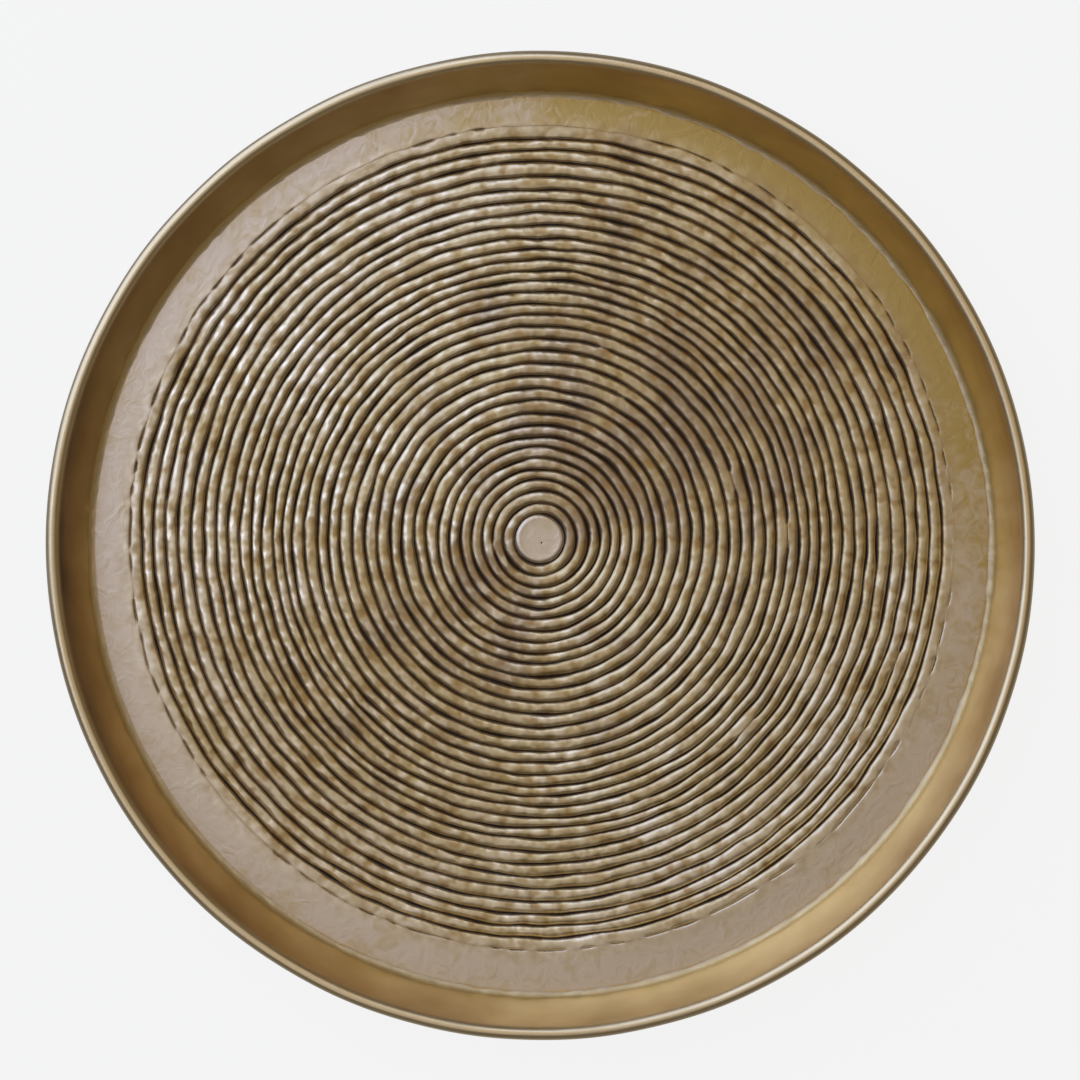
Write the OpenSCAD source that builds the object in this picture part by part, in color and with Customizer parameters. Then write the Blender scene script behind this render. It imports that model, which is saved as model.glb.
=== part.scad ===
// Round brass tray: a cast floor with concentric ribs, soldered into a flared side wall whose lip is
// rolled over a wire, standing on four felt pads. Millimetres, +Z up.
// Origin: centre of the plane the pads stand on. The rim is round about Z.

/* [Overall] */
// Diameter over the rolled lip
tray_d = 406; // [360:2:440]
// Height from the table to the top of the lip
tray_h = 38; // [30:1:50]

/* [Side wall] */
// Thickness of the wall sheet
sheet_t = 1.2; // [0.8:0.1:1.6]
// Lean of the wall away from upright, in degrees
wall_lean = 14.8; // [8:0.2:22]
// Outside radius of the bend at the foot of the wall
bend_r = 2.4; // [2:0.1:3]
// Width of the seat that the floor lies on
seat_w = 8; // [5:0.5:12]

/* [Rolled lip] */
// Diameter of the wire inside the lip
wire_d = 3; // [2:0.1:3.2]
// Width of the slit where the rolled edge comes back to the wall
slit_w = 0.25; // [0.15:0.05:0.4]

/* [Ribbed floor] */
// Thickness of the floor at its smooth border
floor_t = 3; // [2.6:0.1:4]
// Number of ribs between the centre disc and the border
rib_n = 33; // [20:1:35]
// Radius of the groove round the centre disc
disc_groove_r = 10.5; // [9:0.1:14]
// Mean width of the smooth border outside the last groove
border_w = 15.6; // [12:0.1:20]
// Depth of the grooves below the crests of the ribs
groove_h = 1.4; // [1:0.1:1.5]
// Width of a groove along its bottom
groove_w = 0.9; // [0.6:0.1:1.2]
// How far the ring pattern lies off the centre of the tray, along +Y
ring_shift = 2.8; // [0:0.1:4]
// Width of the punch mark on the centre disc
punch_d = 1; // [0.6:0.1:1.6]
// How far the punch mark lies off the centre of the rings, along -Y
punch_shift = 1.7; // [0:0.1:4]

/* [Solder seam] */
// Size of the solder fillet along the floor and up the wall
fillet_leg = 2.8; // [1.5:0.1:3.2]

/* [Felt pads] */
// Diameter of a pad
pad_d = 26; // [16:1:34]
// Thickness of a pad
pad_t = 3; // [2.5:0.5:5]
// Distance of the pads from the centre of the tray
pad_ring_r = 150; // [100:1:150]

/* [Hidden] */
$fn = 180;
brass_tone = [0.74, 0.6, 0.38];
steel_tone = [0.6, 0.6, 0.62];
felt_tone = [0.16, 0.2, 0.16];
fit_gap = 0.05;                              // play left round the wire and behind the solder
edge_gap = 0.15;                             // gap between the floor's edge and the wall
wire_hole_r = wire_d / 2 + fit_gap;
bead_r = wire_hole_r + sheet_t;
bead_x = tray_d / 2 - bead_r;
bead_z = tray_h - bead_r;
seat_z = pad_t;                              // the floor lies on the seat at this height
floor_top = seat_z + floor_t;
face_x = bead_x - bead_r / cos(wall_lean);   // face of the wall at the height of the lip's centre
join_z = bead_z + bead_r * sin(wall_lean);   // the face of the wall runs into the lip as a tangent here
sheet_across = sheet_t / cos(wall_lean);     // thickness of the leaning sheet, measured level
floor_r = wall_face(seat_z) - edge_gap;
field_r = floor_r - border_w;                // radius of the last groove
rib_pitch = (field_r - disc_groove_r) / rib_n;
crest_drop = 0.1;                            // crests lie this far below the smooth border
crest_z = floor_top - crest_drop;
groove_z = crest_z - groove_h;
half_rib = (rib_pitch - groove_w) / 2;
rib_r = (half_rib * half_rib + groove_h * groove_h) / (2 * groove_h);
solder_root = 1;                             // how deep the solder runs between floor and wall
bend_steps = 8;
fillet_steps = 8;
slit_angle = -108;                           // the rolled edge ends under the lip, beside the wall

// radius of the wall's inner face at height z
function wall_face(z) = face_x - (bead_z - z) * tan(wall_lean);

// n + 1 points of an arc from angle a to angle b
function arc_points(x, z, r, a, b, n) =
    [for (i = [0:n]) let (t = a + (b - a) * i / n) [x + r * cos(t), z + r * sin(t)]];

// rounded foot of the wall: the outer bend runs from straight down to the lean of the wall
bend_x = wall_face(seat_z - sheet_t + bend_r) + sheet_across - bend_r / cos(wall_lean);
bend_points = arc_points(bend_x, seat_z - sheet_t + bend_r, bend_r, -90, -wall_lean, bend_steps);

// hollow fillet from the floor up to the wall
fillet_top = floor_top + fillet_leg;
fillet_wall_x = wall_face(fillet_top) - fit_gap;
fillet_foot_x = wall_face(floor_top) - fillet_leg;
function fillet_point(t) =
    let (bx = wall_face(floor_top) - fit_gap, a = (1 - t) * (1 - t), b = 2 * t * (1 - t), c = t * t)
    [a * fillet_foot_x + b * bx + c * fillet_wall_x,
     a * floor_top + b * (floor_top + 0.25 * fillet_leg) + c * fillet_top];

module wall_sheet() {
    polygon(concat(
        [[wall_face(join_z), join_z], [wall_face(seat_z), seat_z],
         [wall_face(seat_z) - seat_w, seat_z], [wall_face(seat_z) - seat_w, seat_z - sheet_t]],
        bend_points,
        [[wall_face(bead_z) + sheet_across, bead_z]]));
}

module wall_profile() {
    difference() {
        union() {
            wall_sheet();
            translate([bead_x, bead_z]) circle(r = bead_r);
        }
        translate([bead_x, bead_z]) circle(r = wire_hole_r);
        translate([bead_x, bead_z]) rotate(slit_angle)
            translate([0, -slit_w / 2]) square([bead_r + 1, slit_w]);
    }
}

// what is cut from the floor: one wide ring pocket, less the round-topped ribs and the centre disc
module groove_profile() {
    difference() {
        polygon([[0, groove_z], [field_r + groove_w / 2, groove_z],
                 [field_r + groove_w / 2 + groove_h / 2, floor_top + 1], [0, floor_top + 1]]);
        for (i = [0:rib_n])
            translate([disc_groove_r + (i - 0.5) * rib_pitch, crest_z - rib_r]) circle(r = rib_r);
        translate([0, seat_z]) square([disc_groove_r - rib_pitch / 2, crest_z - seat_z]);
    }
}

module floor_plate() {
    color(brass_tone) difference() {
        translate([0, 0, seat_z]) cylinder(h = floor_t, r = floor_r);
        translate([0, ring_shift, 0]) rotate_extrude() groove_profile();
        translate([0, ring_shift - punch_shift, crest_z - punch_d / 2])
            cylinder(h = punch_d / 2 + 0.5, r1 = 0, r2 = punch_d / 2 + 0.5);
    }
}

module side_wall() {
    color(brass_tone) rotate_extrude() wall_profile();
}

module rim_wire() {
    color(steel_tone) rotate_extrude() translate([bead_x, bead_z]) circle(d = wire_d);
}

module seam_solder() {
    color(brass_tone) rotate_extrude() polygon(concat(
        [for (i = [0:fillet_steps]) fillet_point(i / fillet_steps)],
        [[wall_face(floor_top - solder_root) - fit_gap, floor_top - solder_root],
         [floor_r + fit_gap / 2, floor_top - solder_root], [floor_r + fit_gap / 2, floor_top]]));
}

module felt_pad(turn) {
    color(felt_tone) rotate([0, 0, turn]) translate([pad_ring_r, 0, 0]) cylinder(h = pad_t, d = pad_d);
}

module felt_pad_1() { felt_pad(45); }
module felt_pad_2() { felt_pad(135); }
module felt_pad_3() { felt_pad(225); }
module felt_pad_4() { felt_pad(315); }

floor_plate();
side_wall();
rim_wire();
seam_solder();
felt_pad_1();
felt_pad_2();
felt_pad_3();
felt_pad_4();
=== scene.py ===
# Round brass tray on a pale studio floor: the CAD frame carries the sizes, this script gives the looks.
import math
import bpy
import numpy as np
from mathutils import Matrix, Vector


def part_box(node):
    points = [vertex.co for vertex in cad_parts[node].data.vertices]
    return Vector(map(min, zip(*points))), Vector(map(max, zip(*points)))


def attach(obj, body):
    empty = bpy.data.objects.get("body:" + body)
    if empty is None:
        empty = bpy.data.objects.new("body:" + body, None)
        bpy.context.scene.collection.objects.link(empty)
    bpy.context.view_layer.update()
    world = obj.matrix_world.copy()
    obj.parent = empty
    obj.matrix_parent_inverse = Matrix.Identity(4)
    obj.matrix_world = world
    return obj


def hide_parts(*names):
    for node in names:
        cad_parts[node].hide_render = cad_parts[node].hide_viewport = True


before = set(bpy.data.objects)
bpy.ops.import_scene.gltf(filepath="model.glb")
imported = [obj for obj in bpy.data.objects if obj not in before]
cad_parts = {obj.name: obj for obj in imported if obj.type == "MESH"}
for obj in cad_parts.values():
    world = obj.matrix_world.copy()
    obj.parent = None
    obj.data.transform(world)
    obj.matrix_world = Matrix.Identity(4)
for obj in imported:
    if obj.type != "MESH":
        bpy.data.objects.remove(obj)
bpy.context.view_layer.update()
mm = 0.001
print("stage: frame loaded,", len(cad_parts), "nodes")

# shared helpers


def box(node):
    # lowest and highest corner of a CAD node, in millimetres
    low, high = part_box(node)
    return np.array(low) / mm, np.array(high) / mm


def hexLinear(text, alpha=1.0):
    # an sRGB hex value as the linear colour that shaders take
    parts = [int(text[i:i + 2], 16) / 255 for i in (0, 2, 4)]
    return [c / 12.92 if c <= 0.04045 else ((c + 0.055) / 1.055) ** 2.4 for c in parts] + [alpha]


def addNode(tree, kind, settings=None, inputs=None, stops=None):
    # one node with its settings; an input is a value or (node, output name)
    node = tree.nodes.new(kind)
    for key, value in (settings or {}).items():
        setattr(node, key, value)
    for key, value in (inputs or {}).items():
        if isinstance(value, tuple) and isinstance(value[0], bpy.types.Node):
            tree.links.new(value[0].outputs[value[1]], node.inputs[key])
        else:
            node.inputs[key].default_value = value
    if stops:
        ramp = node.color_ramp
        while len(ramp.elements) < len(stops):
            ramp.elements.new(0.5)
        for element, (place, colour) in zip(ramp.elements, stops):
            element.position = place
            element.color = colour if isinstance(colour, list) else [colour] * 3 + [1.0]
    return node


def joinShader(tree, shader, inputs):
    # each input of the shader is a fixed value or (node, output name)
    for key, value in inputs.items():
        if isinstance(value, tuple):
            tree.links.new(value[0].outputs[value[1]], shader.inputs[key])
        else:
            shader.inputs[key].default_value = value


def newMaterial(name):
    # an empty material with a Principled shader and its object coordinates
    material = bpy.data.materials.new(name)
    material.use_nodes = True
    tree = material.node_tree
    tree.nodes.clear()
    shader = addNode(tree, "ShaderNodeBsdfPrincipled")
    addNode(tree, "ShaderNodeOutputMaterial", inputs={"Surface": (shader, "BSDF")})
    place = addNode(tree, "ShaderNodeTexCoord")
    return material, tree, shader, place


def waves(x, y, length, seed, layer=0.0):
    # smooth noise: 40 cosine waves in random directions, about this long in mm, with a spread of 1;
    # each wave's phase also drifts with the layer, so two layers a step apart have little in common
    rng = np.random.default_rng(seed)
    total = np.zeros(np.shape(x))
    count = 40
    for i in range(count):
        turn, phase, drift = rng.uniform(0, 2 * np.pi, 3)
        k = 2 * np.pi / (length * rng.uniform(0.7, 1.4))
        total += np.cos(k * (x * np.cos(turn) + y * np.sin(turn)) + phase + drift * layer)
    return total * math.sqrt(2 / count)


def smooth(low, high, value):
    # 0 below low, 1 above high, an S curve between
    t = np.clip((value - low) / (high - low), 0, 1)
    return t * t * (3 - 2 * t)


def band(a, countA, b, countB):
    # triangles between two rings of points that start at a and b; one ring may have twice the points
    j = np.arange(min(countA, countB))
    k = (j + 1) % len(j)
    if countA == countB:
        parts = [(a + j, b + j, b + k), (a + j, b + k, a + k)]
    elif countB == 2 * countA:
        middle = b + 2 * j + 1
        parts = [(a + j, b + 2 * j, middle), (a + j, middle, a + k), (a + k, middle, b + 2 * k)]
    else:
        middle = a + 2 * j + 1
        parts = [(a + 2 * j, b + j, middle), (middle, b + j, b + k), (middle, b + k, a + 2 * k)]
    return [np.stack(p, 1) for p in parts]


def makePiece(name, points, triangles, material, nodes, attributes=None):
    # puts points (mm) and triangles into a smooth-shaded mesh that stands for the CAD nodes
    mesh = bpy.data.meshes.new(name)
    mesh.vertices.add(len(points))
    mesh.vertices.foreach_set("co", (points * mm).astype(np.float32).ravel())
    mesh.loops.add(triangles.size)
    mesh.loops.foreach_set("vertex_index", triangles.astype(np.int32).ravel())
    mesh.polygons.add(len(triangles))
    mesh.polygons.foreach_set("loop_start", np.arange(0, triangles.size, 3, dtype=np.int32))
    mesh.polygons.foreach_set("use_smooth", np.ones(len(triangles), bool))
    mesh.update(calc_edges=True)
    for key, values in (attributes or {}).items():
        layer = mesh.attributes.new(key, "FLOAT", "POINT")
        layer.data.foreach_set("value", values.astype(np.float32))
    mesh.validate()
    piece = bpy.data.objects.new(name, mesh)
    bpy.context.scene.collection.objects.link(piece)
    mesh.materials.append(material)
    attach(piece, "root")
    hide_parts(*nodes)
    print("stage:", name, len(triangles), "triangles")
    return piece


def turnedGrid(radius, height, wrap):
    # grid of rows (profile) by columns (turn about Z); wrap joins the last profile row to the first
    rows, columns = radius.shape
    theta = np.arange(columns) * 2 * np.pi / columns
    points = np.stack([radius * np.cos(theta), radius * np.sin(theta), height], -1).reshape(-1, 3)
    starts = np.arange(rows) * columns
    pairs = list(zip(starts[:-1], starts[1:])) + ([(starts[-1], 0)] if wrap else [])
    triangles = [t for a, b in pairs for t in band(a, columns, b, columns)]
    return points, np.concatenate(triangles)


# materials

# settings and sockets that many nodes share
multiply = {"operation": "MULTIPLY"}
multiplyAdd = {"operation": "MULTIPLY_ADD"}
colourMix = {"data_type": "RGBA"}
sCurve = {"interpolation_type": "SMOOTHSTEP"}
lowIn, highIn, lowOut, highOut = 1, 2, 3, 4    # sockets of a range node
toneA, toneB, toneOut = 6, 7, 2                # sockets of a colour mix

brassTones = {
    "bareAndGlint": "EDDECB",          # bead tops: partly metal rubbed bare, partly painted glints
    "polished": "D2C1A8",      # rib crowns
    "golden": "BDA77E",        # rib crowns under a little more wax, and on the side with painted shade
    "satin": "CAB8A6",         # smooth border
    "waxAndShade": "B2985F",         # border where the wax was left thicker, and painted shade on one side
    "tan": "A08A70",           # rib crowns near the centre, where most wax stayed
    "ochre": "9C7B4A",         # rusty brown wax in spots between the beads
    "shadeBrown": "86664A",         # painted shade, brown along the flanks
    "patina": "30221A",        # nearly black brown in the grooves
}

castValues = {
    "cloud": 22, "smear": 7, "bead": 5.2, "ringApart": 23, "patch": 48, "grit": 1.8, "grain": 1.1,  # mm
    "beadDepth": 0.45, "smearDepth": 0.2, "grainDepth": 0.006,                                      # mm
    "borderRough": 0.36, "ribRough": 0.33, "beadRough": 0.27, "patinaRough": 0.6,
    "coat": 0.3, "coatRough": 0.2,
}


def castBrass():
    # sand-cast brass, antiqued and waxed: pale bead tops, partly rubbed bare and partly painted glints, on
    # golden ribs with painted shade on their flanks and on one side, ochre between, near-black grooves
    v = castValues
    material, tree, shader, place = newMaterial("waxed cast brass")
    spot = (place, "Object")
    names = ("worked", "edge", "depth", "bareAndGlint", "waxAndShade", "ring", "glintSide")
    worked, edge, depth, bareAndGlint, waxAndShade, ring, glintSide = [
        (addNode(tree, "ShaderNodeAttribute", {"attribute_name": name}), "Fac") for name in names]
    # rib tone: more wax leaves a duller crown; the crowns are also darker on one side, a painted shade
    cloud = addNode(tree, "ShaderNodeTexNoise",
                    inputs={"Vector": spot, "Scale": 1 / (v["cloud"] * mm), "Detail": 3.0})
    ribWaxAndShade = addNode(tree, "ShaderNodeMath", multiplyAdd, {0: waxAndShade, 1: -0.4, 2: (cloud, "Fac")})
    ribTone = addNode(tree, "ShaderNodeValToRGB", inputs={"Fac": (ribWaxAndShade, "Value")},
                      stops=[(0.1, hexLinear(brassTones["tan"])), (0.35, hexLinear(brassTones["golden"])),
                             (0.68, hexLinear(brassTones["polished"]))])
    # border tone: satin, with smears of wax and a painted shade on one side
    smear = addNode(tree, "ShaderNodeTexNoise",
                    inputs={"Vector": spot, "Scale": 1 / (v["smear"] * mm), "Detail": 4.0, "Distortion": 1.4})
    smudged = addNode(tree, "ShaderNodeMath", multiplyAdd, {0: (smear, "Fac"), 1: 0.7, 2: waxAndShade})
    uneven = addNode(tree, "ShaderNodeMath", multiplyAdd, {0: (cloud, "Fac"), 1: 0.5, 2: (smudged, "Value")})
    plain = addNode(tree, "ShaderNodeValToRGB", inputs={"Fac": (uneven, "Value")},
                    stops=[(0.6, hexLinear(brassTones["satin"])), (1.45, hexLinear(brassTones["waxAndShade"]))])
    tone = addNode(tree, "ShaderNodeMix", colourMix,
                   {0: worked, toneA: (plain, "Color"), toneB: (ribTone, "Color")})
    # beads: shallow hammered swellings about 5 mm long, each rib with its own; the painted glints on their
    # tops are densest on one side
    apart = addNode(tree, "ShaderNodeSeparateXYZ", inputs={"Vector": spot})
    ownRing = addNode(tree, "ShaderNodeMath", multiply, {0: ring, 1: v["ringApart"] * mm})
    along = addNode(tree, "ShaderNodeCombineXYZ",
                    inputs={"X": (apart, "X"), "Y": (apart, "Y"), "Z": (ownRing, "Value")})
    beads = addNode(tree, "ShaderNodeTexNoise",
                    inputs={"Vector": (along, "Vector"), "Scale": 1 / (v["bead"] * mm), "Detail": 1.0})
    patch = addNode(tree, "ShaderNodeTexNoise",
                    inputs={"Vector": spot, "Scale": 1 / (v["patch"] * mm), "Detail": 1.0})
    cover = addNode(tree, "ShaderNodeMapRange",
                    inputs={"Value": (patch, "Fac"), lowIn: 0.35, highIn: 0.65, lowOut: 0.4, highOut: 1.0})
    # density of the painted glints, higher on one side
    density = addNode(tree, "ShaderNodeMath", multiply, {0: (cover, "Result"), 1: glintSide})
    # rusty wax between the beads
    lowBead = addNode(tree, "ShaderNodeMapRange",
                      inputs={"Value": (beads, "Fac"), lowIn: 0.47, highIn: 0.31, lowOut: 0.0, highOut: 0.7})
    ochreMask = addNode(tree, "ShaderNodeMath", multiply, {0: (lowBead, "Result"), 1: worked})
    withOchre = addNode(tree, "ShaderNodeMix", colourMix,
                        {0: (ochreMask, "Value"), toneA: (tone, toneOut),
                         toneB: hexLinear(brassTones["ochre"])})
    # painted shade: brown along the flanks of the ribs, deepest by the grooves
    flank = addNode(tree, "ShaderNodeMapRange",
                    inputs={"Value": edge, lowIn: 0.03, highIn: 0.4, lowOut: 0.35, highOut: 0.0})
    flankShade = addNode(tree, "ShaderNodeMath", multiply, {0: (flank, "Result"), 1: worked})
    withFlankShade = addNode(tree, "ShaderNodeMix", colourMix,
                        {0: (flankShade, "Value"), toneA: (withOchre, toneOut),
                         toneB: hexLinear(brassTones["shadeBrown"])})
    # pale tone on the tops of the beads, denser on one side: partly metal rubbed bare, partly painted glints
    topBead = addNode(tree, "ShaderNodeMapRange", sCurve,
                      {"Value": (beads, "Fac"), lowIn: 0.47, highIn: 0.7, lowOut: 0.0, highOut: 0.9})
    crown = addNode(tree, "ShaderNodeMapRange", sCurve,
                    {"Value": edge, lowIn: 0.1, highIn: 0.5, lowOut: 0.0, highOut: 1.0})
    onCrown = addNode(tree, "ShaderNodeMath", multiply, {0: (topBead, "Result"), 1: (crown, "Result")})
    thick = addNode(tree, "ShaderNodeMath", multiply, {0: (onCrown, "Value"), 1: (density, "Value")})
    rubbedAndGlint = addNode(tree, "ShaderNodeMath", multiplyAdd, {0: (thick, "Value"), 1: worked, 2: bareAndGlint})
    withBareAndGlint = addNode(tree, "ShaderNodeMix", colourMix,
                       {0: (rubbedAndGlint, "Value"), toneA: (withFlankShade, toneOut),
                        toneB: hexLinear(brassTones["bareAndGlint"])})
    # patina: inside the groove's edge, made uneven by fine noise, and none where the groove runs out
    grit = addNode(tree, "ShaderNodeTexNoise",
                   inputs={"Vector": spot, "Scale": 1 / (v["grit"] * mm), "Detail": 2.0})
    ragged = addNode(tree, "ShaderNodeMath", multiplyAdd, {0: (grit, "Fac"), 1: 0.13, 2: edge})
    inside = addNode(tree, "ShaderNodeMapRange", sCurve,
                     {"Value": (ragged, "Value"), lowIn: 0.17, highIn: 0.05, lowOut: 0.0, highOut: 1.0})
    deep = addNode(tree, "ShaderNodeMapRange",
                   inputs={"Value": depth, lowIn: 0.15, highIn: 0.5, lowOut: 0.0, highOut: 1.0})
    dark = addNode(tree, "ShaderNodeMath", multiply, {0: (inside, "Result"), 1: (deep, "Result")})
    darkness = (dark, "Value")
    colour = addNode(tree, "ShaderNodeMix", colourMix,
                     {0: darkness, toneA: (withBareAndGlint, toneOut), toneB: hexLinear(brassTones["patina"])})
    # ribs are burnished by use, most of all on the beads; the border stays satin and the patina is dull
    burnished = addNode(tree, "ShaderNodeMapRange",
                        inputs={"Value": (rubbedAndGlint, "Value"), lowIn: 0.0, highIn: 0.8,
                                lowOut: v["ribRough"], highOut: v["beadRough"]})
    rough = addNode(tree, "ShaderNodeMix", {"data_type": "FLOAT"},
                    {0: worked, 2: v["borderRough"], 3: (burnished, "Result")})
    roughAll = addNode(tree, "ShaderNodeMix", {"data_type": "FLOAT"},
                       {0: darkness, 2: (rough, 0), 3: v["patinaRough"]})
    metal = addNode(tree, "ShaderNodeMapRange",
                    inputs={"Value": darkness, lowIn: 0.0, highIn: 1.0, lowOut: 1.0, highOut: 0.2})
    coat = addNode(tree, "ShaderNodeMapRange",
                   inputs={"Value": darkness, lowIn: 0.0, highIn: 0.6, lowOut: v["coat"], highOut: 0.0})
    # relief finer than the mesh: the beads themselves, file smears on the border, cast grain
    beadBump = addNode(tree, "ShaderNodeBump",
                       inputs={"Strength": worked, "Distance": v["beadDepth"] * mm, "Height": (beads, "Fac")})
    filed = addNode(tree, "ShaderNodeMapRange", inputs={"Value": worked, lowOut: 1.0, highOut: 0.15})
    smearBump = addNode(tree, "ShaderNodeBump",
                        inputs={"Strength": (filed, "Result"), "Distance": v["smearDepth"] * mm,
                                "Height": (smear, "Fac"), "Normal": (beadBump, "Normal")})
    grain = addNode(tree, "ShaderNodeTexNoise",
                    inputs={"Vector": spot, "Scale": 1 / (v["grain"] * mm), "Detail": 2.0})
    grainBump = addNode(tree, "ShaderNodeBump",
                        inputs={"Strength": 1.0, "Distance": v["grainDepth"] * mm,
                                "Height": (grain, "Fac"), "Normal": (smearBump, "Normal")})
    joinShader(tree, shader, {"Base Color": (colour, toneOut), "Roughness": (roughAll, 0),
                              "Metallic": (metal, "Result"), "Coat Weight": (coat, "Result"),
                              "Normal": (grainBump, "Normal"), "Coat Roughness": v["coatRough"]})
    return material


sheetValues = {
    "cloud": 35, "mark": 1.2, "markDepth": 0.02, "dent": 14, "dentDepth": 0.25,    # mm
    "pale": "FFE6A6", "tan": "BE9A5C", "brown": "5E441C", "wearAndHighlight": "D8C29E",         # with more and more painted shade; the last is the lip's paler top
    "coat": 0.12, "coatRough": 0.25,
}


def satinBrass():
    # spun, hand-finished sheet brass: soft even sheen, faint turning marks, painted shade up the wall and on
    # some sides
    v = sheetValues
    material, tree, shader, place = newMaterial("satin sheet brass")
    spot = (place, "Object")
    cloud = addNode(tree, "ShaderNodeTexNoise",
                    inputs={"Vector": spot, "Scale": 1 / (v["cloud"] * mm), "Detail": 3.0})
    # painted shade: light at the foot, darker towards the lip, darkest inside the roll; the lip's top is
    # paler, partly from wear and partly as a painted highlight
    wallShade = addNode(tree, "ShaderNodeAttribute", {"attribute_name": "wallShade"})
    uneven = addNode(tree, "ShaderNodeMath", multiplyAdd, {0: (cloud, "Fac"), 1: 0.5, 2: (wallShade, "Fac")})
    tone = addNode(tree, "ShaderNodeValToRGB", inputs={"Fac": (uneven, "Value")},
                   stops=[(0.05, hexLinear(v["pale"])), (0.62, hexLinear(v["tan"])),
                          (1.0, hexLinear(v["brown"]))])
    # paler top of the lip: partly wear, partly a painted highlight
    wearAndHighlight = addNode(tree, "ShaderNodeAttribute", {"attribute_name": "wearAndHighlight"})
    colour = addNode(tree, "ShaderNodeMix", colourMix,
                     {0: (wearAndHighlight, "Fac"), toneA: (tone, "Color"), toneB: hexLinear(v["wearAndHighlight"])})
    rough = addNode(tree, "ShaderNodeMapRange",
                    inputs={"Value": (cloud, "Fac"), lowIn: 0.3, highIn: 0.7, lowOut: 0.28, highOut: 0.4})
    # turning marks: noise stretched round the tray, from height and radius only
    spread = addNode(tree, "ShaderNodeMapping", {"vector_type": "POINT"},
                     {"Vector": spot, "Scale": (0.02, 0.02, 1.0)})
    marks = addNode(tree, "ShaderNodeTexNoise",
                    inputs={"Vector": (spread, "Vector"), "Scale": 1 / (v["mark"] * mm), "Detail": 2.0})
    marksBump = addNode(tree, "ShaderNodeBump",
                        inputs={"Strength": 1.0, "Distance": v["markDepth"] * mm, "Height": (marks, "Fac")})
    dent = addNode(tree, "ShaderNodeTexNoise",
                   inputs={"Vector": spot, "Scale": 1 / (v["dent"] * mm), "Detail": 1.0})
    dentBump = addNode(tree, "ShaderNodeBump",
                       inputs={"Strength": 1.0, "Distance": v["dentDepth"] * mm,
                               "Height": (dent, "Fac"), "Normal": (marksBump, "Normal")})
    joinShader(tree, shader, {"Base Color": (colour, toneOut), "Roughness": (rough, "Result"),
                              "Normal": (dentBump, "Normal"), "Metallic": 1.0,
                              "Coat Weight": v["coat"], "Coat Roughness": v["coatRough"]})
    return material


brazeValues = {"cloud": 9, "lump": 5, "lumpDepth": 0.3, "foot": "B3A391", "top": "E0C48C"}  # mm, tones


def brazedFillet():
    # braze run by hand into the corner and filed: it has the floor's tone at its foot, the wall's at its top
    v = brazeValues
    material, tree, shader, place = newMaterial("brazed fillet")
    spot = (place, "Object")
    cloud = addNode(tree, "ShaderNodeTexNoise",
                    inputs={"Vector": spot, "Scale": 1 / (v["cloud"] * mm), "Detail": 3.0})
    climb = addNode(tree, "ShaderNodeAttribute", {"attribute_name": "climb"})
    tone = addNode(tree, "ShaderNodeValToRGB", inputs={"Fac": (climb, "Fac")},
                   stops=[(0.1, hexLinear(v["foot"])), (0.6, hexLinear(v["top"]))])
    pits = addNode(tree, "ShaderNodeAttribute", {"attribute_name": "pits"})
    colour = addNode(tree, "ShaderNodeMix", colourMix,
                     {0: (pits, "Fac"), toneA: (tone, "Color"), toneB: hexLinear(brassTones["patina"])})
    rough = addNode(tree, "ShaderNodeMapRange",
                    inputs={"Value": (cloud, "Fac"), lowIn: 0.3, highIn: 0.7, lowOut: 0.46, highOut: 0.56})
    lumps = addNode(tree, "ShaderNodeTexNoise",
                    inputs={"Vector": spot, "Scale": 1 / (v["lump"] * mm), "Detail": 3.0})
    bump = addNode(tree, "ShaderNodeBump",
                   inputs={"Strength": 1.0, "Distance": v["lumpDepth"] * mm, "Height": (lumps, "Fac")})
    joinShader(tree, shader, {"Base Color": (colour, toneOut), "Roughness": (rough, "Result"),
                              "Normal": (bump, "Normal"), "Metallic": 1.0})
    return material


def drawnSteel():
    # drawn mild steel wire: mottled grey, hidden inside the lip
    material, tree, shader, place = newMaterial("drawn steel wire")
    mottle = addNode(tree, "ShaderNodeTexNoise",
                     inputs={"Vector": (place, "Object"), "Scale": 1 / (2 * mm), "Detail": 3.0})
    tone = addNode(tree, "ShaderNodeValToRGB", inputs={"Fac": (mottle, "Fac")},
                   stops=[(0.3, hexLinear("7C7A78")), (0.7, hexLinear("A5A4A2"))])
    rough = addNode(tree, "ShaderNodeMapRange",
                    inputs={"Value": (mottle, "Fac"), lowIn: 0.3, highIn: 0.7, lowOut: 0.35, highOut: 0.55})
    joinShader(tree, shader, {"Base Color": (tone, "Color"), "Roughness": (rough, "Result"), "Metallic": 1.0})
    return material


def pressedFelt():
    # pressed wool felt: dark green-grey, matt, with a tangle of short fibres
    material, tree, shader, place = newMaterial("pressed felt")
    fibre = addNode(tree, "ShaderNodeTexNoise",
                    inputs={"Vector": (place, "Object"), "Scale": 1 / (0.5 * mm), "Detail": 4.0,
                            "Distortion": 1.5})
    tone = addNode(tree, "ShaderNodeValToRGB", inputs={"Fac": (fibre, "Fac")},
                   stops=[(0.3, hexLinear("1D2620")), (0.7, hexLinear("46524A"))])
    bump = addNode(tree, "ShaderNodeBump",
                   inputs={"Strength": 1.0, "Distance": 0.25 * mm, "Height": (fibre, "Fac")})
    joinShader(tree, shader, {"Base Color": (tone, "Color"), "Normal": (bump, "Normal"),
                              "Roughness": 0.95, "Sheen Weight": 0.4})
    return material


# ribbed floor

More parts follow.
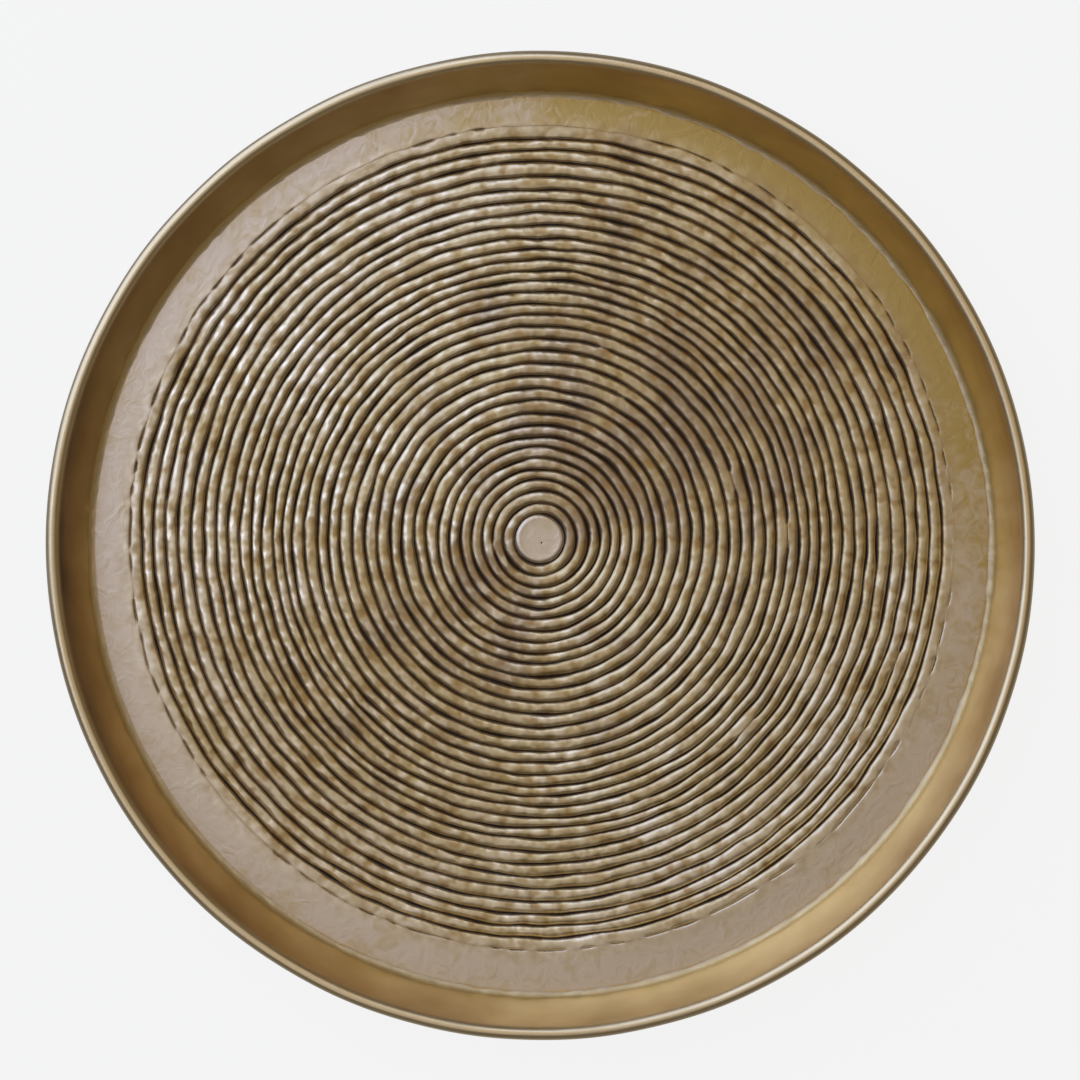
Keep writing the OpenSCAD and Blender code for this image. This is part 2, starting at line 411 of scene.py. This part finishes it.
floorValues = {
    "ribs": 33, "discGroove": 10.5, "border": 15.6, "ringShift": 2.8,  # mm, as the CAD solid has them
    "grooveDepth": 1.4, "crestDrop": 0.1,                              # mm, as the CAD solid has them
    "crowding": 1.0, "scatter": 0.17,      # mm: grooves crowd and spread twice on the way out, and by chance
    "seed": 11,
    # rows: mm from the rings' centre, then parts of a rib, of the border, of the edge and of the underside
    "discRows": (0.3, 0.55, 1.3, 3.0, 5.0, 7.0, 8.2, 8.7, 9.2, 9.7, 10.3),
    "ribRows": (0.0, 0.045, 0.1, 0.22, 0.5, 0.78, 0.9, 0.955),
    "borderRows": (0.0, 0.015, 0.035, 0.065, 0.12, 0.2, 0.3, 0.42, 0.55, 0.68, 0.8, 0.9, 0.985),
    "edgeRows": (1.0, 0.9, 0.1),
    "underRows": (0.996, 0.97, 0.75, 0.5, 0.25, 0.1),
    "columns": 448, "fullFrom": 88,        # points round a row outside this radius, fewer further in
    "camber": 0.42,                        # mm that a crown stands above its shoulders
    "flatFloor": (0.015, 0.06, 0.18),      # least, usual and most width of a groove's flat, in half ribs
    "bead": 0.08, "swell": 0.04,           # mm of relief on the crowns
    "punch": (0.8, -1.7), "punchR": 0.4,   # mm from the rings' centre, mm radius of its dark dot
    "lastDepth": 0.48,                     # the outermost groove is shallower and comes in dashes
    "waxAndShade": 0.7, "shadeTurn": 50, "glintTurn": 185,  # painted shade on one side: its amount and the turn where it is darkest; the turn where painted glints are densest; turns in degrees
}


def ribbedFloor(material):
    # a disc whose top is a function of ring phase and angle: round-topped ribs between narrow grooves that
    # wander, deepen and fade with smooth noise; rows run from the centre out, over the edge and back beneath
    v = floorValues
    low, high = box("floor_plate")
    top, seat, edgeR = high[2], low[2], high[0]
    fieldR = edgeR - v["border"]
    ribs = v["ribs"]
    index = np.arange(ribs + 1)
    rng = np.random.default_rng(v["seed"])
    even = v["discGroove"] + (fieldR - v["discGroove"]) * index / ribs
    grooveBase = even - v["crowding"] * (1 - np.cos(4 * np.pi * index / ribs))
    grooveBase = grooveBase + rng.normal(0, v["scatter"], ribs + 1)

    # rows as (kind, groove index, phase): disc, ribs, border, edge, underside
    discRows = [(0, 0, r) for r in v["discRows"]]
    ribRows = [(1, i, s) for i in range(ribs) for s in v["ribRows"]]
    borderRows = [(2, ribs, f) for f in v["borderRows"]]
    edgeRows = [(3, ribs, f) for f in v["edgeRows"]]
    underRows = [(4, ribs, f) for f in v["underRows"]]
    rows = np.array(discRows + ribRows + borderRows + edgeRows + underRows)
    kind, ring, phase = rows[:, 0].astype(int), rows[:, 1].astype(int), rows[:, 2]
    reach = np.where(kind == 0, phase, np.where(kind == 4, edgeR * phase, grooveBase[ring]))
    # points in each row: halved where the radius falls under the full one, its half and its quarter
    full, far = v["columns"], v["fullFrom"]
    zones = [reach > far, reach > far / 2, reach > far / 4]
    count = np.select(zones, [full, full // 2, full // 4], full // 8)
    starts = np.concatenate([[0], np.cumsum(count)])
    row = np.repeat(np.arange(len(rows)), count)
    theta = (np.arange(starts[-1]) - starts[row]) * 2 * np.pi / count[row]
    kind, ring, phase = kind[row], ring[row], phase[row]
    cosT, sinT = np.cos(theta), np.sin(theta)

    def grooveRadius(i):
        # neighbouring grooves share most of the slow wander and little of the quick one
        base = grooveBase[i]
        x, y = base * cosT, base * sinT
        slow = waves(x, y, 90, 21, i * 0.35)
        middling = waves(x, y, 28, 20, i * 0.8)
        quick = waves(x, y, 16, 22, i * 1.0)
        return base + 0.2 * slow + 0.17 * middling + 0.09 * quick * smooth(4, 25, base)

    def grooveDepth(i):
        # 1 in a full groove, near 0 where two ribs run together
        x, y = grooveBase[i] * cosT, grooveBase[i] * sinT
        depth = 0.95 + 0.12 * waves(x, y, 30, 23, i * 1.7)
        depth *= 1 - 0.85 * smooth(2.0, 2.6, waves(x, y, 34, 24, i * 2.1))
        dashes = smooth(-1.2, -0.6, waves(x, y, 70, 25)) * smooth(-0.7, -0.1, waves(x, y, 11, 26))
        return depth * np.where(i == ribs, v["lastDepth"] * dashes, 1.0)

    nxt = np.minimum(ring + 1, ribs)
    inner, outer = grooveRadius(ring), grooveRadius(nxt)
    near = np.where((kind == 1) & (phase > 0.5), nxt, ring)
    depth = np.clip(grooveDepth(near), 0.0, 1.15)

    # radius about the ring centre, or about the tray's centre from the edge onwards
    across = inner + phase * (outer - inner)
    radius = np.select([kind == 0, kind == 1, kind == 2, kind == 4],
                       [phase, across, inner, edgeR * phase], edgeR)
    x, y = radius * cosT, radius * sinT + v["ringShift"]
    edgeX, edgeY = edgeR * cosT, edgeR * sinT
    blend = np.where(kind == 2, phase, 0.0)
    x = np.select([kind == 2, kind > 2], [(1 - blend) * x + blend * edgeX, radius * cosT], x)
    y = np.select([kind == 2, kind > 2], [(1 - blend) * y + blend * edgeY, radius * sinT], y)

    # height across a rib: steep out of the groove's flat bottom, then a low round crown
    least, usual, most = v["flatFloor"]
    width = np.clip(usual + 0.04 * waves(x, y, 22, 27, near * 1.3), least, most)
    width = np.where(near == ribs, 0.01, width)
    pitch = (fieldR - v["discGroove"]) / ribs
    fromGroove = np.hypot(x - (inner * cosT), y - (inner * sinT + v["ringShift"]))
    away = np.where(kind == 1, 2 * np.minimum(phase, 1 - phase), 1.0)
    away = np.where(kind == 2, fromGroove / (pitch / 2), away)
    away = np.where(kind == 0, np.maximum(0, grooveBase[0] - phase) / (pitch / 2), away)
    flank = np.clip((away - width) / (1 - width), 0, 1)
    rise = np.clip(1 - (1 - flank) ** 6, 0, 1) ** 0.5
    sunk = (1 - rise) * depth
    crest = top - v["crestDrop"]
    beads = v["bead"] * waves(x, y, 8, 28, near * 0.6) + v["swell"] * waves(x, y, 22, 29)
    onRibs = np.where(kind == 1, rise, 0.15) * np.where(kind <= 2, 1.0, 0.0)
    height = crest - v["grooveDepth"] * sunk + np.minimum(beads * onRibs, v["crestDrop"] * 0.9)
    height = height - np.where(kind == 1, v["camber"] * np.clip(depth, 0, 1) * (2 * phase - 1) ** 2, 0)
    # centre disc: a little lower, with a raised rounded edge and a punch mark
    discLift = -0.1 + 0.16 * np.exp(-((phase - 8.6) / 0.55) ** 2) - 0.05 * (phase < v["punchR"])
    height = np.where(kind == 0, crest + discLift - v["grooveDepth"] * sunk, height)
    # border: rises from the crests' level to the full thickness, almost flat
    height = np.where(kind == 2, height + 0.6 * v["crestDrop"] * smooth(0.1, 0.5, phase), height)
    # edge: a small bevel above and another beneath
    atEdge = np.select([phase == 1.0, phase == 0.9], [top - 0.25, top - 0.5], seat + 0.3)
    height = np.select([kind == 3, kind == 4], [atEdge, seat], height)
    # the punch mark sits off the rings' centre: the inner disc rows lean towards it
    lean = np.where(kind == 0, np.clip(1 - phase / 8, 0, 1), 0.0)
    punchX, punchY = v["punch"]
    points = np.stack([x + punchX * lean, y + punchY * lean, np.minimum(height, top)], -1)

    # poles: the punch mark on top and the tray's centre beneath
    poles = np.array([[punchX, v["ringShift"] + punchY, crest - 0.15], [0.0, 0.0, seat]])
    points = np.concatenate([points, poles])
    topPole, underPole = len(points) - 2, len(points) - 1
    triangles = []
    for a in range(len(rows) - 1):
        triangles += band(starts[a], count[a], starts[a + 1], count[a + 1])
    j = np.arange(count[0])
    triangles.append(np.stack([np.full_like(j, topPole), starts[0] + j, starts[0] + (j + 1) % count[0]], 1))
    last = len(rows) - 1
    j = np.arange(count[last])
    following = starts[last] + (j + 1) % count[last]
    triangles.append(np.stack([starts[last] + j, np.full_like(j, underPole), following], 1))

    # what the material reads: edge is 0 at the rim of a groove's flat and rises towards the crown
    edge = np.where(kind <= 2, np.minimum(away, 1) - width, 1.0)
    edge = np.where((kind == 0) & (phase < v["punchR"]), -0.3, edge)  # patina in the punch mark
    # hammering fades out over the last rib and the inner part of the border
    worked = np.where(kind == 1, 1 - 0.55 * phase * (ring == ribs - 1), 0.0)
    worked = np.where(kind == 2, 0.45 * (1 - smooth(0.0, 0.45, phase)), worked)
    # painted shade: the floor is darker on one side, most at the given turn
    waxAndShade = v["waxAndShade"] * np.maximum(0, np.cos(theta - math.radians(v["shadeTurn"]))) ** 3
    # the ribs take half of that painted shade, plus wax that thickens towards the centre
    waxAndShade = np.where(kind == 1, 0.5 * waxAndShade + 0.75 * (1 - ring / ribs), waxAndShade)
    waxAndShade = np.where(kind == 0, 0.0, waxAndShade)
    # painted highlight: the pale bead tops are densest on one side
    glintSide = 0.6 + 0.4 * np.cos(theta - math.radians(v["glintTurn"]))
    bareAndGlint = np.where(kind == 0, 0.12 * (1 - smooth(8.0, 9.5, phase)), 0.0)
    values = {"edge": (edge, [-0.3, 1.0]), "depth": (depth, [1.0, 0.0]), "worked": (worked, [0.0, 0.0]),
              "bareAndGlint": (bareAndGlint, [0.0, 0.0]), "waxAndShade": (waxAndShade, [0.0, 0.0]),
              "ring": (ring + (kind == 2), [0.0, 0.0]), "glintSide": (glintSide, [0.0, 0.0])}
    attributes = {key: np.append(rowValues, poleValues) for key, (rowValues, poleValues) in values.items()}
    triangles = np.concatenate(triangles)
    return makePiece("ribbedFloor", points, triangles, material, ["floor_plate"], attributes)


# side wall with its rolled lip

wallValues = {
    "sheet": 1.2, "lean": 14.8, "wire": 3.0, "play": 0.05, "bend": 2.4, "seat": 8.0,  # mm and degrees
    "slitTurn": -108.0,                    # degrees: where the roll ends, under the lip
    "wobble": 0.25, "belly": 0.5,          # mm that the face is out of true
    "dent": 0.05,                          # mm of shallow dents
    "columns": 600, "middleR": 200,        # points round, mm radius at which the waves are read
    # painted shade by turn in degrees, painted light where the amount is below 0: (amount, turn, sharpness)
    "sideShade": ((0.42, 188, 3), (0.19, 0, 4), (-0.2, 292, 4), (-0.08, 60, 4)),
}


def wallShape():
    # the straight inner face as radius = face(z), the heights between which it runs, the lip's centre, its
    # radius and the radius of the hole for the wire
    v = wallValues
    low, high = box("side_wall")
    holeR = v["wire"] / 2 + v["play"]
    lipR = holeR + v["sheet"]
    lipX, lipZ = high[0] - lipR, high[2] - lipR
    slope = math.radians(v["lean"])
    faceX = lipX - lipR / math.cos(slope)
    seatTop = box("floor_plate")[0][2]
    joinZ = lipZ + lipR * math.sin(slope)

    def face(z):
        return faceX - (lipZ - z) * math.tan(slope)

    return face, seatTop, joinZ, lipX, lipZ, lipR, holeR


def wallSway(theta, z, seatTop, joinZ, topZ):
    # how far the finished face lies off the straight one: a slight belly, plus an uneven pull inwards that
    # grows with height
    v = wallValues
    cx, cy = v["middleR"] * np.cos(theta), v["middleR"] * np.sin(theta)
    pull = np.clip(v["wobble"] * (waves(cx, cy, 260, 41) * 0.6 + waves(cx, cy, 60, 42) * 0.25 - 1.2), -0.7, 0)
    climb = np.clip((z - seatTop) / (topZ - seatTop), 0, 1)
    onSheet = np.clip(np.sin(np.pi * (z - seatTop) / (joinZ - seatTop)), 0, 1)
    return v["belly"] * onSheet + pull * climb


def arc(x, z, r, start, end, count):
    # points of an arc, in degrees
    t = np.radians(np.linspace(start, end, count))
    return np.stack([x + r * np.cos(t), z + r * np.sin(t)], 1)


def flaredWall(material):
    # one closed profile turned about Z: up the inner face, over and under the lip, round the wire, down
    # outside and in along the seat; the turn is a little out of round, more so towards the lip
    v = wallValues
    low, high = box("side_wall")
    topZ = high[2]
    face, seatTop, joinZ, lipX, lipZ, lipR, holeR = wallShape()
    across = v["sheet"] / math.cos(math.radians(v["lean"]))

    # the inner face runs straight up into the roll, which it meets as a tangent
    inner = np.array([[face(z), z] for z in np.linspace(seatTop, joinZ, 16)])
    over = arc(lipX, lipZ, lipR, 180 - v["lean"] - 5, v["slitTurn"] + 4, 36)
    hole = arc(lipX, lipZ, holeR, v["slitTurn"] + 6, v["slitTurn"] + 354, 24)
    tuck = arc(lipX, lipZ, lipR, v["slitTurn"] - 4, -122, 3)
    outerZ = np.linspace(lipZ - 2.3, seatTop + 2.2, 12)
    outer = np.array([[face(z) + across, z] for z in outerZ])
    bendZ = seatTop - v["sheet"] + v["bend"]
    bendX = face(bendZ) + across - v["bend"] / math.cos(math.radians(v["lean"]))
    foot = arc(bendX, bendZ, v["bend"], -v["lean"], -90, 8)
    seatIn = face(seatTop) - v["seat"]
    seat = np.array([[seatIn + 0.3, low[2]], [seatIn, low[2] + 0.3],
                     [seatIn, seatTop - 0.2], [seatIn + 0.2, seatTop]])
    profile = np.concatenate([inner, over, hole, tuck, outer, foot, seat])

    columns = v["columns"]
    theta = np.arange(columns) * 2 * np.pi / columns
    climb = np.clip((profile[:, 1:2] - seatTop) / (topZ - seatTop), 0, 1)
    cx, cy = v["middleR"] * np.cos(theta), v["middleR"] * np.sin(theta)
    dent = v["dent"] * waves(cx[None, :] + 0 * climb, cy[None, :] + profile[:, 1:2], 30, 43)
    middle = np.sin(np.pi * climb) ** 2
    sway = wallSway(theta[None, :], profile[:, 1:2], seatTop, joinZ, topZ)
    radius = profile[:, 0:1] + sway + dent * middle
    lift = np.clip(v["wobble"] * (waves(cx, cy, 180, 44) * 0.6 - 1.0), -0.8, 0)
    height = profile[:, 1:2] + lift[None, :] * climb ** 2
    points, triangles = turnedGrid(radius, height, True)
    # painted shade: deepens up the wall towards the lip, gathers on some sides and lifts to painted light on
    # others; deepest in the hole, even outside
    sideShade = 0.0
    for amount, turn, sharpness in v["sideShade"]:
        sideShade = sideShade + amount * np.maximum(0, np.cos(theta - math.radians(turn))) ** sharpness
    wallShade = np.clip(-0.15 + 0.5 * climb, -0.15, 0.4) + sideShade[None, :] * (0.3 + 0.7 * climb)
    holeFrom = len(inner) + len(over)
    wallShade[holeFrom:holeFrom + len(hole)] = 0.9
    wallShade[holeFrom + len(hole):] = 0.3
    # the lip is paler on top: partly wear, partly a painted highlight
    lipTurn = np.degrees(np.arctan2(profile[:, 1] - lipZ, profile[:, 0] - lipX))
    onLip = np.zeros(len(profile))
    onLip[:holeFrom] = 1.0
    wearAndHighlight = onLip * smooth(-30, 10, lipTurn) * (1 - smooth(150, 178, lipTurn))
    attributes = {"wallShade": wallShade.ravel(), "wearAndHighlight": np.repeat(wearAndHighlight, columns)}
    return makePiece("flaredWall", points, triangles, material, ["side_wall"], attributes)


# brazed seam between floor and wall

seamValues = {
    "leg": 2.8, "wander": 0.35,            # mm: reach over the floor, and how much it varies
    "sink": 0.11, "lump": 0.04,            # mm: foot below the floor's top, relief
    "columns": 720, "rows": 14, "crack": 0.25,
}


def brazedSeam(material):
    # round fillet along the corner, tangent to the floor and to the wall; its size wanders with the angle
    v = seamValues
    floorHigh = box("floor_plate")[1]
    top, edgeR = floorHigh[2], floorHigh[0]
    face, seatTop, joinZ = wallShape()[:3]
    topZ = box("side_wall")[1][2]
    columns = v["columns"]
    theta = np.arange(columns) * 2 * np.pi / columns
    cx, cy = edgeR * np.cos(theta), edgeR * np.sin(theta)
    swell = waves(cx, cy, 34, 51) * 0.7 + waves(cx, cy, 12, 52) * 0.6
    # the finished wall at the floor and 2 mm up gives its lean where the fillet meets it
    faceTop = face(top) + wallSway(theta, top, seatTop, joinZ, topZ)
    lean = (face(top + 2) + wallSway(theta, top + 2, seatTop, joinZ, topZ) - faceTop) / 2
    full = np.pi / 2 - np.arctan(lean)
    # radius of the fillet whose foot reaches this far in from the wall
    leg = v["leg"] + np.clip(v["wander"] * swell - 0.1, -0.6, 0.2)
    size = leg / (np.sin(full) - (1 - np.cos(full)) * lean)
    turn = np.linspace(0, 1, v["rows"])[:, None] * full[None, :]
    footX = faceTop + size * ((1 - np.cos(full)) * lean - np.sin(full))
    wallZ = top + size * (1 - np.cos(full))
    wallX = faceTop + (wallZ - top) * lean
    radius = footX + size * np.sin(turn)
    height = top - v["sink"] + size * (1 - np.cos(turn))
    lumps = v["lump"] * waves(cx[None, :] + 3 * turn, cy[None, :] + 3 * turn, 7, 55)
    height = height + lumps * np.sin(np.pi * turn / full[None, :])
    # both feather edges run on a little way into the brass, and the braze fills the gap behind
    flat = np.zeros(columns)
    backR = np.stack([wallX + 0.5 * lean + 0.12, wallX + 0.4, faceTop + 0.1, flat + (edgeR + 0.03),
                      flat + (edgeR - 0.5), footX, footX - 1.2])
    backZ = np.stack([wallZ + 0.5, wallZ - 0.3, flat + (top - 0.5), flat + (top - 0.9),
                      flat + (top - 0.4), flat + (top - 0.4), flat + (top - 0.3)])
    radius = np.concatenate([radius, backR])
    height = np.concatenate([height, backZ])
    points, triangles = turnedGrid(radius, height, True)
    # patina in short cracks along the foot
    crack = smooth(0.2, 1.2, waves(cx, cy, 9, 56)) * smooth(-0.5, 0.8, waves(cx, cy, 70, 57))
    pits = np.zeros((len(radius), columns))
    pits[1] = v["crack"] * crack
    # 0 at the foot and 1 at the top; of the hidden rows, three lie by the wall and four by the floor
    climbed = np.concatenate([np.linspace(0, 1, v["rows"]), [1.0] * 3, [0.0] * 4])
    attributes = {"pits": pits.ravel(), "climb": np.repeat(climbed, columns)}
    return makePiece("brazedSeam", points, triangles, material, ["seam_solder"], attributes)


# felt pads

padValues = {"edge": 0.7, "topEdge": 0.15, "fuzz": 0.06, "hole": 0.02, "columns": 72}  # mm, points round


def feltPad(node, material, seed):
    # a disc with rounded edges: profile from the centre underneath, round the side and back in on top
    v = padValues
    low, high = box(node)
    middle, half, thick = (low + high) / 2, (high[0] - low[0]) / 2, high[2] - low[2]
    e, t, hole = v["edge"], v["topEdge"], v["hole"]
    under = np.stack([np.linspace(hole, half - e, 8), np.zeros(8)], 1)
    over = np.stack([np.linspace(half - 1, hole, 5), np.full(5, thick)], 1)
    side, shoulder = arc(half - e, e, e, -80, 0, 5), arc(half - t, thick - t, t, 0, 90, 3)
    profile = np.concatenate([under, side, shoulder, over])
    columns = v["columns"]
    theta = np.arange(columns) * 2 * np.pi / columns
    radius = np.repeat(profile[:, 0:1], columns, 1)
    height = np.repeat(profile[:, 1:2], columns, 1)
    rough = waves(radius * np.cos(theta), radius * np.sin(theta) + height, 3, seed)
    radius = np.clip(radius - np.clip(v["fuzz"] * (1 + rough), 0, 0.3) * (radius > half - 1), hole, half)
    points, triangles = turnedGrid(radius, height, False)
    points, triangles = closePoles(points, triangles[:, ::-1], columns)
    points = points + np.array([middle[0], middle[1], low[2]])
    return makePiece("feltPad" + node[-1], points, triangles, material, [node])


def closePoles(points, triangles, columns):
    # fans over the first and last ring of a turned grid whose faces have been reversed
    first, last = len(points), len(points) + 1
    rings = points.reshape(-1, columns, 3)
    points = np.concatenate([points, rings[:1].mean(1), rings[-1:].mean(1)])
    j = np.arange(columns)
    k = (j + 1) % columns
    base = len(rings) * columns - columns
    firstFan = np.stack([np.full(columns, first), k, j], 1)
    lastFan = np.stack([base + j, base + k, np.full(columns, last)], 1)
    return points, np.concatenate([triangles, firstFan, lastFan])


# build the tray

cast, satin, braze, steel, felt = castBrass(), satinBrass(), brazedFillet(), drawnSteel(), pressedFelt()
ribbedFloor(cast)
flaredWall(satin)
brazedSeam(braze)
for number in range(1, 5):
    feltPad("felt_pad_%d" % number, felt, 60 + number)
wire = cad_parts["rim_wire"]
for place in wire.material_slots:
    place.material = steel
print("stage: tray built")

# camera, light and floor

studio = {
    "cameraHeight": 1.2,              # m above the lip
    "offCentre": (0.034, 0.022),      # m, where the camera hangs
    "aim": (0.0009, 0.0028),          # m, the point of the rim plane in the middle of the frame
    "lens": 97.7,                     # mm on a 36 mm sensor
    # soft panels: turn about Z and tilt from straight up in degrees, distance and size in m, power in W
    "keyTurn": 138, "keyTilt": 48, "keyFar": 1.5, "keySize": (1.9, 1.8), "keyPower": 14.7,
    "keyColour": (0.79, 0.965, 1.35),
    "topTurn": 220, "topTilt": 16, "topFar": 2.2, "topSize": (1.7, 1.7), "topPower": 4.8,
    "topColour": (1.0, 0.975, 0.94),
    "fillTurn": 45, "fillTilt": 27, "fillFar": 2.0, "fillSize": (1.7, 1.5), "fillPower": 3.85,
    "fillColour": (1.0, 0.86, 0.6),
    "sky": 0.15, "skyColour": [1.0, 0.92, 0.76, 1], "backdrop": 0.896,   # brightness
    "floorSize": 12.0, "floorTone": [0.04, 0.04, 0.04, 1], "floorGlow": 0.872, "floorLift": 0.3,
}


def makeCamera():
    data = bpy.data.cameras.new("camera")
    data.lens = studio["lens"]
    data.sensor_width = 36
    data.clip_start, data.clip_end = 0.01, 100
    camera = bpy.data.objects.new("camera", data)
    rim = box("side_wall")[1][2] * mm - 0.0025  # the middle of the lip
    camera.location = (*studio["offCentre"], rim + studio["cameraHeight"])
    ahead = (Vector((*studio["aim"], rim)) - camera.location).normalized()
    right = ahead.cross(Vector((0, 1, 0))).normalized()
    camera.rotation_euler = Matrix((right, right.cross(ahead), -ahead)).transposed().to_euler()
    bpy.context.scene.collection.objects.link(camera)
    bpy.context.scene.camera = camera


def makeLight(name):
    # a soft panel that looks at the tray; its long side lies level
    data = bpy.data.lights.new(name, "AREA")
    data.shape, (data.size, data.size_y) = "RECTANGLE", studio[name + "Size"]
    data.energy, data.color = studio[name + "Power"], studio[name + "Colour"]
    lamp = bpy.data.objects.new(name, data)
    far = studio[name + "Far"]
    turn, tilt = math.radians(studio[name + "Turn"]), math.radians(studio[name + "Tilt"])
    level = far * math.sin(tilt)
    lamp.location = (level * math.cos(turn), level * math.sin(turn), far * math.cos(tilt))
    lamp.rotation_euler = (-Vector(lamp.location)).to_track_quat("-Z", "Y").to_euler()
    bpy.context.scene.collection.objects.link(lamp)


def makeStudio():
    makeLight("key")
    makeLight("top")
    makeLight("fill")
    world = bpy.data.worlds.new("studio")
    world.use_nodes = True
    tree = world.node_tree
    tree.nodes.clear()
    path = addNode(tree, "ShaderNodeLightPath")
    dim = addNode(tree, "ShaderNodeBackground",
                  inputs={"Color": studio["skyColour"], "Strength": studio["sky"]})
    pale = addNode(tree, "ShaderNodeBackground",
                   inputs={"Color": [1, 1, 1, 1], "Strength": studio["backdrop"]})
    mix = addNode(tree, "ShaderNodeMixShader", inputs={0: (path, "Is Camera Ray"), 1: (dim, 0), 2: (pale, 0)})
    addNode(tree, "ShaderNodeOutputWorld", inputs={"Surface": (mix, 0)})
    bpy.context.scene.world = world
    # pale floor
    mesh = bpy.data.meshes.new("studioFloor")
    size = studio["floorSize"]
    corners = [(-size, -size, 0), (size, -size, 0), (size, size, 0), (-size, size, 0)]
    mesh.from_pydata(corners, [], [(0, 1, 2, 3)])
    floor = bpy.data.objects.new("studioFloor", mesh)
    bpy.context.scene.collection.objects.link(floor)
    material, tree, shader, place = newMaterial("pale floor")
    # the floor looks white but throws little light up at the tray
    path = addNode(tree, "ShaderNodeLightPath")
    glow = addNode(tree, "ShaderNodeMapRange",
                   inputs={"Value": (path, "Is Camera Ray"),
                           lowOut: studio["floorLift"], highOut: studio["floorGlow"]})
    joinShader(tree, shader, {"Base Color": studio["floorTone"], "Roughness": 0.9,
                              "Emission Color": [1, 1, 1, 1], "Emission Strength": (glow, "Result")})
    mesh.materials.append(material)
    bpy.context.scene.view_settings.view_transform = "Standard"


makeCamera()
makeStudio()
print("stage: camera and light set")
